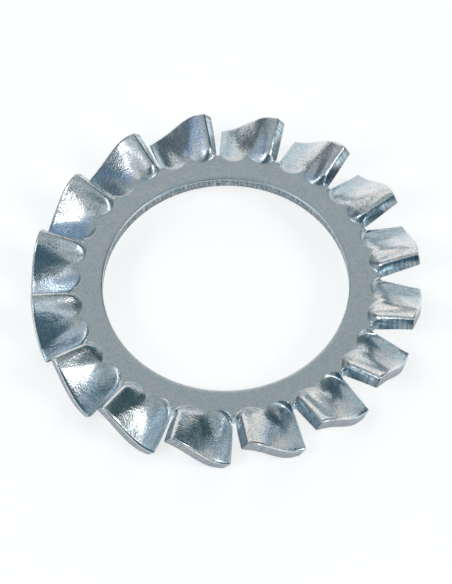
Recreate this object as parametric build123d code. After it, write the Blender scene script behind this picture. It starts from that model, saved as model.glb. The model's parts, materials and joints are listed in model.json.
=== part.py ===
"""External-tooth lock washer, fan type, for a 12 mm screw.

One stamping of spring steel strip: a flat ring with a plain bore and sixteen
teeth round its rim.  Each tooth is twisted about its own radial middle line,
so its clockwise edge stands above the ring and its other edge dips below it.

Millimetres, +Z up.  The origin is the middle of the bore, half way through
the thickness of the ring.  The first tooth points along +X.
"""

import os
from math import atan2, cos, pi, radians, sin

from build123d import *

# Driving sizes of the flat blank
bore_diameter = 13.0
ring_width = 1.6
tooth_reach = 2.3
strip_thickness = 0.75
tooth_count = 16
slot_width = 0.34
bore_edge_ease = 0.08

# Driving sizes of a formed tooth, at its tip
slot_mouth = 0.96
tip_rise = 1.19
tip_thinning = 0.17
tip_crown_radius = 5.0
tip_crown_offset = 0.35
tip_wave = radians(75)

# How the twist grows from the fold at the ring to the tip, as shares of a tooth's length.
# The last section lies past the tip, where the rim's crown trims it off.
bend_share = 0.3
lobe_share = 0.45
section_shares = (0.0, 0.15, 0.35, 0.7, 1.08)
points_across = 5

half_pitch = pi / tooth_count
slot_root_radius = bore_diameter / 2 + ring_width
fold_radius = slot_root_radius + slot_width / 2
tip_radius = slot_root_radius + tooth_reach


def along(start, end, share):
    """The value a share of the way from start to end."""
    return start + (end - start) * share


def half_width_beside(gap, distance):
    """Half a tooth's width at a distance from the bore's axis, with a gap to the next tooth."""
    return (distance * sin(half_pitch) - gap / 2) / cos(half_pitch)


def rise_at(share):
    """Height of a tooth's raised edge: a soft bend at the fold, then a straight slope."""
    if share < bend_share:
        grown = share**2 / (2 * bend_share)
    else:
        grown = share - bend_share / 2
    return tip_rise * grown / (1 - bend_share / 2)


def twist_shape(across, share):
    """Height across a tooth as a share of its rise, +1 at the clockwise edge.

    Close to the fold each half is a separate lobe that the ring still holds
    at its corners, and further out the whole width leans as one slope.
    """
    lobes = -sin(pi * across)
    slope = -sin(tip_wave * across) / sin(tip_wave)
    return along(lobes, slope, min(share / lobe_share, 1))


def tooth_section(share):
    """Cross-section of a tooth at a share of its length, square to its middle line."""
    distance = along(fold_radius, tip_radius, share)
    half_width = half_width_beside(along(slot_width, slot_mouth, share), distance)
    half_thickness = (strip_thickness - tip_thinning * share) / 2
    rise = rise_at(share)
    lean = atan2(rise, half_width)
    to_skin = Vector(half_thickness * sin(lean), half_thickness * cos(lean))

    steps = [along(-1, 1, i / (points_across - 1)) for i in range(points_across)]
    middle = [Vector(half_width * u, rise * twist_shape(u, share)) for u in steps]
    upper = [point + to_skin for point in middle]
    lower = [point - to_skin for point in middle]
    outline = Wire(
        [
            Edge.make_spline(upper),
            Edge.make_line(upper[-1], lower[-1]),
            Edge.make_spline(lower),
            Edge.make_line(lower[0], upper[0]),
        ]
    )
    return Plane(origin=(distance, 0, 0), x_dir=(0, 1, 0), z_dir=(1, 0, 0)) * Face(outline)


def tooth():
    """One tooth along +X: sections lofted from the fold outward, trimmed to the rim's crown."""
    twisted = loft([tooth_section(share) for share in section_shares])
    crown_height = 4 * (tip_rise + strip_thickness)
    crown = Cylinder(tip_crown_radius, crown_height)
    return twisted & Pos(tip_radius - tip_crown_radius, tip_crown_offset) * crown


def ring():
    """The flat ring: a seat for each tooth, round-bottomed slots between them, an eased bore."""
    slot_angle = 360 / tooth_count / 2
    blank = RegularPolygon(fold_radius, tooth_count, major_radius=False, rotation=slot_angle)
    blank -= Circle(bore_diameter / 2)
    slot_length = 2 * tooth_reach
    slot = Pos(slot_root_radius + slot_length / 2, 0) * SlotOverall(slot_length, slot_width)
    blank -= PolarLocations(0, tooth_count, start_angle=slot_angle) * slot
    plate = extrude(blank, strip_thickness / 2, both=True)
    bore_edges = plate.edges().filter_by(GeomType.CIRCLE).group_by(SortBy.RADIUS)[-1]
    return chamfer(bore_edges, bore_edge_ease)


def lock_washer():
    """The ring and its teeth as one piece."""
    return ring() + PolarLocations(0, tooth_count) * tooth()


os.makedirs("parts", exist_ok=True)
export_step(lock_washer(), "parts/lock_washer.step")
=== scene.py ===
"""Toothed lock washer: one stamping of zinc-plated spring steel on a pale studio floor."""

import json
from math import atan2, cos, hypot, pi, radians, sin, tan

import bmesh
import bpy
import numpy as np
from mathutils import Matrix, Vector


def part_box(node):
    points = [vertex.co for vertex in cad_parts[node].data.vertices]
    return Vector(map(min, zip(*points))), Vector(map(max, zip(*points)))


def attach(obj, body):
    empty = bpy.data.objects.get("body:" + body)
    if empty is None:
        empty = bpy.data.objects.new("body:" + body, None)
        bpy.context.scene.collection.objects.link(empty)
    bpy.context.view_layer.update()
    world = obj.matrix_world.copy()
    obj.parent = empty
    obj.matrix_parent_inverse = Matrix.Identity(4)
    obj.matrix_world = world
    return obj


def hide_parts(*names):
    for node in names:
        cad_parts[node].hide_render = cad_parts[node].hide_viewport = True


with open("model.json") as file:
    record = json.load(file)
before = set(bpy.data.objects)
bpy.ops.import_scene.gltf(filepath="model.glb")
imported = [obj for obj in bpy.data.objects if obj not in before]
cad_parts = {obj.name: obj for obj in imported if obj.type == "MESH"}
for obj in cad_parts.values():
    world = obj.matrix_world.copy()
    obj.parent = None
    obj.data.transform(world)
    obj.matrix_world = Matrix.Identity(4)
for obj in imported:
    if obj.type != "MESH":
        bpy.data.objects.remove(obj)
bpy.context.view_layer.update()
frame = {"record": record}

# ---------------------------------------------------------------- the washer's flat blank
# A ring of spring-steel strip with sixteen fan teeth round its rim, blanked in one
# stroke of a press: a plain bore, round-bottomed slots and a crowned rim to each tooth.
# The punch rolls the teeth's upper edges over and barely breaks the lower ones.

# Lengths are in millimetres until the mesh is made, and the first tooth points along X.
MM = 0.001
mounts = {mount["name"]: mount for mount in frame["record"]["mounts"]}
box_low, box_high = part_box("lock_washer")
bore_radius = mounts["bore"]["dims"]["r_mm"]
half_strip = mounts["upper_face"]["pos_m"][2] / MM
room_at_rim = 0.05
tip_radius = box_high.x / MM - room_at_rim
tooth_count = 16
slot_root_radius = 8.1
slot_width = 0.34
slot_mouth = 0.95
crown_radius = 6.0
crown_offset = 0.05
rolled_edge = 0.15
rolled_depth = 0.11
lower_edge = 0.04
bore_edge = 0.09
plan_corner = 0.06

half_pitch = pi / tooth_count
slot_centre = slot_root_radius + slot_width / 2


def slot_gap(x):
    """Width of the slots beside a tooth at a distance x along its middle line."""
    share = np.maximum((x - slot_centre) / (tip_radius - slot_centre), 0)
    return slot_width + (slot_mouth - slot_width) * share


def half_width(x):
    """Half a tooth's width at a distance x along its middle line."""
    return (x * sin(half_pitch) - slot_gap(x) / 2) / cos(half_pitch)


def crown(y):
    """Distance out to the crowned rim at y beside a tooth's middle line."""
    return tip_radius - crown_radius + np.sqrt(crown_radius**2 - (y - crown_offset) ** 2)


# The rim's half width and the crown's reach there depend on each other, and soon settle.
rim_half = half_width(tip_radius)
for _ in range(20):
    rim_half = half_width(crown(rim_half))

# Columns of points run out along a tooth, and crowd together in its rolled edges.
inner_columns = 34
edge_steps = rolled_edge * np.array([0, 0.08, 0.3, 0.62, 1])
edge_columns = 1 - edge_steps / rim_half
inner = np.linspace(-1, 1, inner_columns + 1)[1:-1] * edge_columns[-1]
columns = np.concatenate([-edge_columns, inner, edge_columns[::-1]])


def arc_row(radius, spread):
    """Points on an arc about the bore, from one side of a tooth to the other."""
    return np.stack([radius * np.cos(spread * columns), radius * np.sin(spread * columns)], axis=1)


def slot_row(turn):
    """Points level with one step round the quarter circle at the root of a slot."""
    along_slot = slot_centre - slot_width / 2 * cos(turn)
    beside_slot = slot_width / 2 * sin(turn)
    return arc_row(hypot(along_slot, beside_slot), half_pitch - atan2(beside_slot, along_slot))


# Rows cross them, few where the ring stays flat and many where the teeth bend up from it.
tooth_rows = 26
bore_rows = bore_radius + bore_edge * np.array([0, 0.1, 0.4, 1])
flat_rows = np.linspace(bore_radius + 0.2, slot_root_radius - 0.6, 5)
bent_rows = np.linspace(slot_root_radius - 0.54, slot_root_radius, 19)
ring_rows = [*bore_rows, *flat_rows, *bent_rows]
rows = [arc_row(radius, half_pitch) for radius in ring_rows]
rows += [slot_row(turn) for turn in np.linspace(0, pi / 2, 6)[1:]]
root = rows[-1]
rim = np.stack([crown(rim_half * columns), rim_half * columns], axis=1)
rim_shares = 1 - edge_steps[::-1] / (tip_radius - slot_centre)
tooth_shares = [*np.linspace(0, rim_shares[0], tooth_rows)[1:-1], *rim_shares]
rows += [root + (rim - root) * share for share in tooth_shares]
x, y = np.moveaxis(np.array(rows), 2, 0)


def rolled(distance, radius):
    """How far a rounded edge drops below its face, at a distance in from the cut."""
    return radius * (1 - np.sqrt(1 - np.clip(1 - distance / radius, 0, 1) ** 2))


along_slot = x * cos(half_pitch) + np.abs(y) * sin(half_pitch)
beside_slot = x * sin(half_pitch) - np.abs(y) * cos(half_pitch)
past_root = np.hypot(along_slot - slot_centre, beside_slot) - slot_width / 2
from_side = np.where(along_slot < slot_centre, past_root, beside_slot - slot_gap(x) / 2)
from_rim = crown(y) - x
from_cut = np.minimum(from_side, from_rim)
at_bore = rolled(np.hypot(x, y) - bore_radius, bore_edge)
upper = half_strip - rolled(from_cut, rolled_edge) * rolled_depth / rolled_edge - at_bore
lower = rolled(from_cut, lower_edge) + at_bore - half_strip

# The corners between a tooth's sides and its rim are rounded in plan as well.
hardly_any = 1e-9
beyond_side = np.clip(plan_corner - from_side, 0, None)
beyond_rim = np.clip(plan_corner - from_rim, 0, None)
beyond_both = np.maximum(np.hypot(beyond_side, beyond_rim), hardly_any)
squareness = np.maximum(beyond_side, beyond_rim) / beyond_both
x = x - beyond_rim * (1 - squareness)
y = y - np.sign(y) * beyond_side * (1 - squareness)

# Each tooth's sector has an upper face, a lower face and walls at its cuts, which take the
# second material. Neighbouring sectors meet in the ring, where their points are merged.
merge_within = 0.002
second_material = 1
first_slot_row = len(ring_rows) - 1
blank = bmesh.new()
for tooth in range(tooth_count):
    angle = 2 * half_pitch * tooth
    x_turned = x * cos(angle) - y * sin(angle)
    y_turned = x * sin(angle) + y * cos(angle)
    faces = [np.stack([x_turned, y_turned, z], axis=2) for z in (lower, upper)]
    below, above = [[[blank.verts.new(point) for point in row] for row in face] for face in faces]
    for grid in (below, above):
        for near, far in zip(grid, grid[1:]):
            for i in range(len(columns) - 1):
                blank.faces.new((near[i], far[i], far[i + 1], near[i + 1]))
    cuts = [(below[0], above[0]), (below[-1], above[-1])]
    for i in (0, -1):
        cuts.append([[row[i] for row in grid[first_slot_row:]] for grid in (below, above)])
    for under, over in cuts:
        for i in range(len(under) - 1):
            wall = blank.faces.new((under[i], under[i + 1], over[i + 1], over[i]))
            wall.material_index = second_material
bmesh.ops.remove_doubles(blank, verts=blank.verts, dist=merge_within)
bmesh.ops.recalc_face_normals(blank, faces=blank.faces)

# ---------------------------------------------------------------- the washer's teeth
# A second stroke twists every tooth the same way about its middle line, one half up and
# the other down. Each half starts beside the ring as a full lobe at a crisp arc, is parted
# further out by a soft crease, and has its cut side leaning with the twist.

# Shares run from 0 to 1, along a tooth or out from its middle line.
tip_rise = 1.035
tip_lift = 0.02
tip_thinning = 0.1
tip_wave = radians(82)
tooth_lean = radians(38)
lean_growth = 0.85
lobe_reach = 0.555
lobe_corner = 0.06
lobe_skew = 1.08
lobe_fullness = 0.56
lobe_bend = 0.06
lobe_growth = 0.75
side_bend = 0.08
side_growth = 0.42
side_starts = 0.45
side_ends = 0.9
facet_share = 0.55
facet_slope = 0.4
crease_at_root = 0.15
crease_at_rim = 0.5
crease_bend = 0.1
straight_after = 0.6


def smooth(value):
    """0 below 0, 1 above 1, and an even ramp between."""
    value = np.clip(value, 0, 1)
    return value * value * (3 - 2 * value)


def growth(distance, bend):
    """Distance past a fold, softened by a bend of that length."""
    bent = distance**2 / (2 * bend)
    return np.where(distance < 0, 0, np.where(distance < bend, bent, distance - bend / 2))


def facets(reach, crease):
    """Rise from the middle line to a side: steep up to the crease, then one flatter slope."""
    left = crease_bend * np.log1p(np.exp((crease - reach) / crease_bend))
    whole = crease_bend * np.log1p(np.exp(crease / crease_bend))
    return 1 - facet_slope * (1 - reach) - (1 - facet_slope) * left / whole


def formed(points):
    """Flat points of one tooth's sector, moved to where the press leaves them."""
    x, y, z = points.T
    side = y / half_width(x)
    reach = np.abs(side)
    share = smooth((x - slot_root_radius) / (tip_radius - slot_root_radius))

    # How much of its rise each point has, on its way from its fold to the tip
    radius = np.hypot(x, y)
    outward = radius + (x - radius) * smooth((x - slot_root_radius) / straight_after)
    lobe = np.maximum(np.sin(pi * reach**lobe_skew), 0) + lobe_corner
    fold = slot_root_radius - lobe_reach * (lobe**lobe_fullness - lobe_corner**lobe_fullness)
    by_side = smooth((reach - side_starts) / (side_ends - side_starts))
    bend = lobe_bend + (side_bend - lobe_bend) * by_side
    power = lobe_growth + (side_growth - lobe_growth) * by_side
    grown = (growth(outward - fold, bend) / growth(tip_radius - fold, bend)) ** power

    # The section across the tooth, and the lean of what is drawn through its thickness
    crease = crease_at_root + (crease_at_rim - crease_at_root) * share
    wave = np.sin(tip_wave * reach) / sin(tip_wave)
    section = wave + facet_share * (facets(reach, crease) - wave)
    middle = tip_lift * share - np.sign(side) * tip_rise * section * grown
    lean = tooth_lean * grown**lean_growth
    through = z * (1 - tip_thinning * share / (2 * half_strip))
    return np.stack([x, y + through * np.sin(lean), middle + through * np.cos(lean)], axis=1)


def turned_about_bore(points, angles):
    """Points turned about the middle of the bore, each by its own angle."""
    x, y, z = points.T
    x_turned = x * np.cos(angles) - y * np.sin(angles)
    y_turned = y * np.cos(angles) + x * np.sin(angles)
    return np.stack([x_turned, y_turned, z], axis=1)


flat = np.array([vert.co for vert in blank.verts])
around = np.arctan2(flat[:, 1], flat[:, 0])
tooth_turn = np.round(around / (2 * half_pitch)) % tooth_count * 2 * half_pitch
on_first_tooth = turned_about_bore(flat, -tooth_turn)
pressed = turned_about_bore(formed(on_first_tooth), tooth_turn)
for vert, point in zip(blank.verts, pressed * MM):
    vert.co = point

washer_mesh = bpy.data.meshes.new("washer_body")
blank.to_mesh(washer_mesh)
blank.free()
washer_mesh.shade_smooth()

# Two attributes stay with the steel for its finishes: each point's place on the flat
# first tooth, shifted tooth by tooth so that no two look alike, and its share across.
shift_per_radian = 12
drawn_at = on_first_tooth + np.outer(tooth_turn, [0, shift_per_radian, 0])
drawn = washer_mesh.attributes.new("drawn", "FLOAT_VECTOR", "POINT")
drawn.data.foreach_set("vector", drawn_at.ravel())
across = washer_mesh.attributes.new("across", "FLOAT", "POINT")
across.data.foreach_set("value", on_first_tooth[:, 1] / half_width(on_first_tooth[:, 0]))

washer = bpy.data.objects.new("washer_body", washer_mesh)
bpy.context.collection.objects.link(washer)
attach(washer, "root")
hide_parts("lock_washer")

# ---------------------------------------------------------------- the washer's zinc plate
# Bright zinc, electroplated in a barrel and blue passivated: a thin coat that mirrors
# softly and turns faintly blue and cream with its thickness. It is satin on the ring, and
# on the teeth glossier, buckled and rumpled, with streaks that the die's drag left on them.
# A painted reflection also tints the falling halves of the teeth more blue.
plate = bpy.data.materials.new("bright_zinc_plate")
plate.use_nodes = True
tree = plate.node_tree
finish = tree.nodes["Principled BSDF"]
finish.inputs["Metallic"].default_value = 1


def linear(colour):
    """A colour written as sRGB hex, turned to linear light, with full cover."""
    parts = [int(colour[i : i + 2], 16) / 255 for i in (1, 3, 5)]
    return (*[part / 12.92 if part <= 0.04045 else ((part + 0.055) / 1.055) ** 2.4 for part in parts], 1)


def add_node(tree, kind, given, output=0):
    """Add a node, give it its values and links by name, and return one of its outputs."""
    node = tree.nodes.new("ShaderNode" + kind)
    for name, value in given.items():
        if isinstance(value, bpy.types.NodeSocket):
            tree.links.new(value, node.inputs[name])
        elif hasattr(node, str(name)):
            setattr(node, name, value)
        else:
            node.inputs[name].default_value = value
    return node.outputs[output]


# The finish changes from the ring's to the teeth's between 7.7 and 8.2 mm from the axis,
# and across a tooth from the middle line to well down its falling half.
metres = add_node(tree, "TexCoord", {}, "Object")
on_washer = add_node(tree, "VectorMath", {"operation": "SCALE", 0: metres, "Scale": 1 / MM})
on_blank = add_node(tree, "Attribute", {"attribute_name": "drawn"}, "Vector")
from_axis = add_node(tree, "SeparateXYZ", {"Vector": on_blank}, "X")
side = add_node(tree, "Attribute", {"attribute_name": "across"}, "Fac")
eased = {"interpolation_type": "SMOOTHSTEP"}
on_tooth = add_node(tree, "MapRange", {**eased, "Value": from_axis, "From Min": 7.7, "From Max": 8.2})
falling_side = {**eased, "Value": side, "From Min": -0.1, "From Max": 0.7, "To Min": 0.04}
on_falling = add_node(tree, "MapRange", falling_side)
drag_and_painted_reflection = add_node(tree, "Math", {"operation": "MULTIPLY", 0: on_falling, 1: on_tooth})

# Each mark is noise that is fixed to the steel, with so many blots to the millimetre along,
# across and through it. The plate's own sparkle is some hundredths of a millimetre, too
# fine to show, so its specks are drawn a tenth of a millimetre across.
patterns = {
    "mottle": (on_washer, (2.5, 2.5, 2.5), 3, 0.6),
    "speck": (on_washer, (10, 10, 10), 3, 0.7),
    "rumple": (on_washer, (6.25, 6.25, 6.25), 2, 0.6),
    "buckle": (on_blank, (0.9, 1.5, 0.5), 1, 0.5),
    "streak": (on_blank, (1.8, 13, 4), 3, 0.6),
    "film": (on_blank, (2.2, 3, 1), 3, 0.6),
}
mark = {}
for name, (fixed_to, blots_per_mm, detail, roughness) in patterns.items():
    scaled = add_node(tree, "VectorMath", {"operation": "MULTIPLY", 0: fixed_to, 1: blots_per_mm})
    settings = {"Vector": scaled, "Scale": 1, "Detail": detail, "Roughness": roughness}
    mark[name] = add_node(tree, "TexNoise", settings)

thick = add_node(tree, "MapRange", {"Value": mark["film"], "From Min": 0.34, "From Max": 0.62})
films = {"Fac": thick, "Color1": linear("#dce3e7"), "Color2": linear("#f1edeb")}
coated = add_node(tree, "MixRGB", films)
# Painted reflection: the falling halves are tinted more blue, standing in for the teal they mirror. The
# same mask also places the real drag streaks in the relief.
painted_reflection_tint = {"blend_type": "MULTIPLY", "Fac": drag_and_painted_reflection, "Color1": coated, "Color2": linear("#d6e5ee")}
tooth_colour = add_node(tree, "MixRGB", painted_reflection_tint)
dull = add_node(tree, "MapRange", {"Value": mark["mottle"], "From Min": 0.35, "From Max": 0.65})
greys = {"Fac": dull, "Color1": linear("#c8d4d8"), "Color2": linear("#d6d6d7")}
ring_colour = add_node(tree, "MixRGB", greys)
colour = add_node(tree, "MixRGB", {"Fac": on_tooth, "Color1": ring_colour, "Color2": tooth_colour})
dimmest = add_node(tree, "MapRange", {"Value": on_tooth, "To Min": 0.84, "To Max": 0.7})
specks = {"Value": mark["speck"], "From Min": 0.35, "From Max": 0.58, "To Min": dimmest}
sparkle = add_node(tree, "MapRange", specks)
colour = add_node(tree, "VectorMath", {"operation": "SCALE", 0: colour, "Scale": sparkle})
tree.links.new(colour, finish.inputs["Base Color"])
rough = add_node(tree, "MapRange", {"Value": on_tooth, "To Min": 0.3, "To Max": 0.13})
tree.links.new(rough, finish.inputs["Roughness"])

# Each mark's height in the relief, in millimetres, and where it shows
everywhere = 1.0
heights = [
    ("speck", 0.010, everywhere),
    ("mottle", 0.006, everywhere),
    ("rumple", 0.008, on_tooth),
    ("buckle", 0.04, on_tooth),
    ("streak", 0.009, drag_and_painted_reflection),
]
relief = 0.0
for name, height, share in heights:
    shown = add_node(tree, "Math", {"operation": "MULTIPLY", 0: mark[name], 1: share})
    relief = add_node(tree, "Math", {"operation": "MULTIPLY_ADD", 0: shown, 1: height, 2: relief})
bump = add_node(tree, "Bump", {"Distance": MM, "Strength": 1, "Height": relief})
tree.links.new(bump, finish.inputs["Normal"])
washer_mesh.materials.append(plate)

# ---------------------------------------------------------------- the washer's sheared walls
# The walls that the punch sheared, plated over: a burnished band where it entered and a
# paler torn band below, with blue and dark marks straight through the thickness. The
# rim's is greyer and more even. The bore's is darkened by painted shade, broken by specks of painted
# glint.
sheared = bpy.data.materials.new("sheared_zinc_plate")
sheared.use_nodes = True
tree = sheared.node_tree
finish = tree.nodes["Principled BSDF"]
finish.inputs["Metallic"].default_value = 1
on_blank = add_node(tree, "Attribute", {"attribute_name": "drawn"}, "Vector")
from_axis = add_node(tree, "SeparateXYZ", {"Vector": on_blank}, "X")
from_middle = add_node(tree, "SeparateXYZ", {"Vector": on_blank}, "Z")
patterns = {
    "drag": ((8, 8, 0.9), 4, 0.65),
    "pit_and_painted_glint": ((14, 14, 9), 3, 0.7),
}
mark = {}
for name, (blots_per_mm, detail, roughness) in patterns.items():
    scaled = add_node(tree, "VectorMath", {"operation": "MULTIPLY", 0: on_blank, 1: blots_per_mm})
    settings = {"Vector": scaled, "Scale": 1, "Detail": detail, "Roughness": roughness}
    mark[name] = add_node(tree, "TexNoise", settings)

# The torn band starts at a ragged line along the wall.
uneven = {"operation": "MULTIPLY_ADD", 0: mark["drag"], 1: 0.45, 2: from_middle}
ragged = add_node(tree, "Math", uneven)
torn = add_node(tree, "MapRange", {"Value": ragged, "From Min": 0.3, "From Max": 0.12})
pale = add_node(tree, "MapRange", {"Value": mark["drag"], "From Min": 0.38, "From Max": 0.62})
burnished_blues = {"Fac": pale, "Color1": linear("#86a9ba"), "Color2": linear("#e6f0f5")}
burnished_colour = add_node(tree, "MixRGB", burnished_blues)
torn_blues = {"Fac": pale, "Color1": linear("#9ab3c2"), "Color2": linear("#e9eff2")}
torn_colour = add_node(tree, "MixRGB", torn_blues)
colour = add_node(tree, "MixRGB", {"Fac": torn, "Color1": burnished_colour, "Color2": torn_colour})
near_rim = {"Value": from_axis, "From Min": 9.8, "From Max": 10.1, "To Max": 0.8}
at_rim = add_node(tree, "MapRange", near_rim)
colour = add_node(tree, "MixRGB", {"Fac": at_rim, "Color1": colour, "Color2": linear("#8e9196")})
# Painted shade on the bore's walls: their colour drops to between 0.22 and 0.75 of itself, and the
# lighter specks in it stand for painted glint.
painted_glints = {"Value": mark["pit_and_painted_glint"], "From Min": 0.42, "From Max": 0.64, "To Min": 0.22, "To Max": 0.75}
painted_bore_shade = add_node(tree, "MapRange", painted_glints)
painted_shade_fade = {"Value": from_axis, "From Min": 6.6, "From Max": 7.5, "To Min": painted_bore_shade}
shade = add_node(tree, "MapRange", painted_shade_fade)
colour = add_node(tree, "VectorMath", {"operation": "SCALE", 0: colour, "Scale": shade})
tree.links.new(colour, finish.inputs["Base Color"])
rough = add_node(tree, "MapRange", {"Value": torn, "To Min": 0.2, "To Max": 0.4})
tree.links.new(rough, finish.inputs["Roughness"])
relief = 0.0
for name, height, share in [("drag", 0.009, everywhere), ("pit_and_painted_glint", 0.02, torn)]:
    shown = add_node(tree, "Math", {"operation": "MULTIPLY", 0: mark[name], 1: share})
    relief = add_node(tree, "Math", {"operation": "MULTIPLY_ADD", 0: shown, 1: height, 2: relief})
bump = add_node(tree, "Bump", {"Distance": MM, "Strength": 1, "Height": relief})
tree.links.new(bump, finish.inputs["Normal"])
washer_mesh.materials.append(sheared)

# ---------------------------------------------------------------- the floor
# A sheet of matt white card under the washer. It is white to the camera and in the
# metal, apart from the soft shadow, and sends no more light up than grey card would.
half_card = 400 * MM
card_glow = 0.57
card_mesh = bpy.data.meshes.new("white_card")
corners = [(-half_card, -half_card), (half_card, -half_card)]
corners += [(half_card, half_card), (-half_card, half_card)]
card_mesh.from_pydata([(x, y, box_low.z) for x, y in corners], [], [(0, 1, 2, 3)])
card = bpy.data.objects.new("white_card", card_mesh)
bpy.context.collection.objects.link(card)
card_paint = bpy.data.materials.new("white_card")
card_paint.use_nodes = True
tree = card_paint.node_tree
finish = tree.nodes["Principled BSDF"]
finish.inputs["Base Color"].default_value = linear("#e7e7e7")
finish.inputs["Roughness"].default_value = 1
finish.inputs["Specular IOR Level"].default_value = 0
finish.inputs["Emission Color"].default_value = linear("#fffcf9")
seen = 0.0
for kind_of_ray in ("Is Camera Ray", "Is Glossy Ray", "Is Transmission Ray"):
    ray = add_node(tree, "LightPath", {}, kind_of_ray)
    seen = add_node(tree, "Math", {"operation": "MAXIMUM", 0: seen, 1: ray})
glow = add_node(tree, "Math", {"operation": "MULTIPLY", 0: seen, 1: card_glow})
tree.links.new(glow, finish.inputs["Emission Strength"])
card_mesh.materials.append(card_paint)

# ---------------------------------------------------------------- the camera
# A long lens that looks down on the washer from high in front, turned and rolled a little.
# Its shift puts the middle of the ring's upper face at the axis pixel, counted from the
# picture's top left corner.
elevation = radians(58.76)
distance = 212.0
pixels_per_mm = 18.97
picture_width = 452
picture_height = 584
axis_pixel_x = 225.8
axis_pixel_y = 282.8
roll = radians(-1.44)
turn_about = radians(-13.02)
sensor_height = 36
camera_data = bpy.data.cameras.new("camera")
camera_data.sensor_fit = "VERTICAL"
camera_data.sensor_height = sensor_height
camera_data.lens = pixels_per_mm * distance * sensor_height / picture_height
camera_data.shift_x = (picture_width / 2 - axis_pixel_x) / picture_height
camera_data.shift_y = (axis_pixel_y - picture_height / 2) / picture_height
camera_data.clip_start = 10 * MM
camera = bpy.data.objects.new("camera", camera_data)
bpy.context.collection.objects.link(camera)
stand = Vector((0, -distance * cos(elevation), distance * sin(elevation) + half_strip)) * MM
aimed = Matrix.Rotation(pi / 2 - elevation, 4, "X") @ Matrix.Rotation(roll, 4, "Z")
camera.matrix_world = Matrix.Rotation(turn_about, 4, "Z") @ Matrix.Translation(stand) @ aimed
bpy.context.scene.camera = camera
bpy.context.scene.view_settings.view_transform = "Standard"

# ---------------------------------------------------------------- the studio light
# A grey tent round the washer, with a white wall low down behind it, light and dark
# panels in it for the teeth to mirror, and a large soft lamp high on each side.

# A panel has its bearing, from behind and to the right, and its height, then how far from
# there it ends and how far it is full, all in degrees, and its light.
tent_grey = (0.395, 0.46, 0.48)
panels = [
    ((0, 8), (46, 34), (0.98, 0.99, 0.97)),
    ((17, 2), (15, 6), (0.16, 0.27, 0.34)),
    ((-54, 10), (28, 17), (0.14, 0.18, 0.21)),
    ((48, 8), (14, 6), (0.62, 0.78, 0.94)),
    ((46, 40), (22, 14), (0.13, 0.19, 0.21)),
    ((65, 29), (25, 15), (0.05, 0.10, 0.12)),
    ((176, 26), (46, 30), (0.07, 0.14, 0.18)),
    ((130, 54), (19, 9), (0.62, 0.74, 0.84)),
    ((-84, 28), (18, 9), (0.11, 0.18, 0.25)),
    ((-80, 46), (17, 8), (0.34, 0.47, 0.66)),
    ((-114, 60), (20, 9), (0.72, 0.78, 0.85)),
]
tent = bpy.data.worlds.new("studio_tent")
bpy.context.scene.world = tent
tent.use_nodes = True
tree = tent.node_tree


def studio_direction(bearing, height):
    """Unit vector towards a place in the studio, from its bearing and height in degrees."""
    level = cos(radians(height))
    facing = Vector((sin(radians(bearing)) * level, cos(radians(bearing)) * level, 0))
    facing.z = sin(radians(height))
    return Matrix.Rotation(turn_about, 3, "Z") @ facing


outward = add_node(tree, "TexCoord", {}, "Generated")
light = (*tent_grey, 1)
for place, (end, full), colour in panels:
    towards = {"operation": "DOT_PRODUCT", 0: outward, 1: studio_direction(*place)}
    nearness = add_node(tree, "VectorMath", towards, "Value")
    fade = {"From Min": cos(radians(end)), "From Max": cos(radians(full))}
    share = add_node(tree, "MapRange", {**eased, **fade, "Value": nearness})
    light = add_node(tree, "MixRGB", {"Fac": share, "Color1": light, "Color2": (*colour, 1)})
tree.links.new(light, tree.nodes["Background"].inputs["Color"])

# A lamp has its bearing and height, how wide and high it looks from the washer, in
# degrees, and its brightness. Its oval glows evenly inside and fades out at its edge.
lamp_distance = 500 * MM
lamps = [
    ((110, 35), (36, 24), 3.5),
    ((-114, 38), (36, 17), 3.4),
]
for place, (wide, high), radiance in lamps:
    box = bpy.data.lights.new("softbox", "AREA")
    box.shape = "ELLIPSE"
    box.size = 2 * lamp_distance * tan(radians(wide / 2))
    box.size_y = 2 * lamp_distance * tan(radians(high / 2))
    area = pi / 4 * box.size * box.size_y
    box.energy = radiance * pi * area
    box.use_nodes = True
    tree = box.node_tree
    on_box = add_node(tree, "NewGeometry", {}, "Parametric")
    centred = add_node(tree, "VectorMath", {"operation": "SUBTRACT", 0: on_box, 1: (0.5, 0.5, 0)})
    off_centre = add_node(tree, "VectorMath", {"operation": "LENGTH", 0: centred}, "Value")
    fade = {"From Min": 0.5, "From Max": 0.3}
    glow = add_node(tree, "MapRange", {**eased, **fade, "Value": off_centre})
    tree.links.new(glow, tree.nodes["Emission"].inputs["Strength"])
    lamp = bpy.data.objects.new("softbox", box)
    bpy.context.collection.objects.link(lamp)
    lamp.location = studio_direction(*place) * lamp_distance
    lamp.rotation_euler = lamp.location.to_track_quat("Z", "Y").to_euler()
